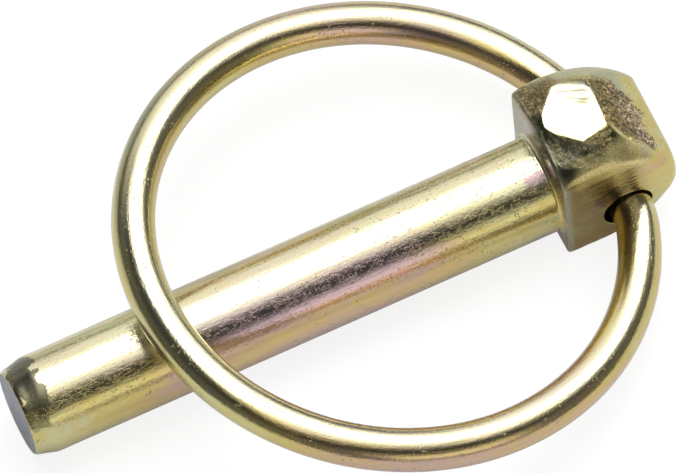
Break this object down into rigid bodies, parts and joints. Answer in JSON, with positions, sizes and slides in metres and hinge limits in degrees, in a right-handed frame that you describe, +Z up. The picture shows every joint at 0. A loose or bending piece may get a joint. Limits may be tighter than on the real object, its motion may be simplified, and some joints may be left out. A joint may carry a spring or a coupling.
{
  "type": "linch pin",
  "caption": "Linch pin: a plain round shank with a forged block head and a sprung wire ring that folds down over the shank to lock it in a cross hole.",
  "frame": {"origin": "where the shank's axis meets the head's bearing face", "axes": "+X along the shank from its tip towards the head, +Z up as the pin lies on its side, +Y across the head along the ring's hinge"},
  "size_m": [0.0556, 0.0436, 0.0125],
  "materials": {
    "pin_steel": "yellow zinc plated forged steel, glossy with fine drawing lines on the shank and a rougher forged head",
    "ring_wire": "yellow zinc plated spring steel wire, glossy"
  },
  "bodies": {
    "pin": {"pin": "pin_steel"},
    "ring": {"ring": "ring_wire"}
  },
  "joints": [
    {"name": "ring_hinge", "type": "hinge", "parent": "pin", "child": "ring", "pos_m": [0.00536, 0, -0.00094], "axis": [0, 1, 0], "range_deg": [0, 341]}
  ]
}
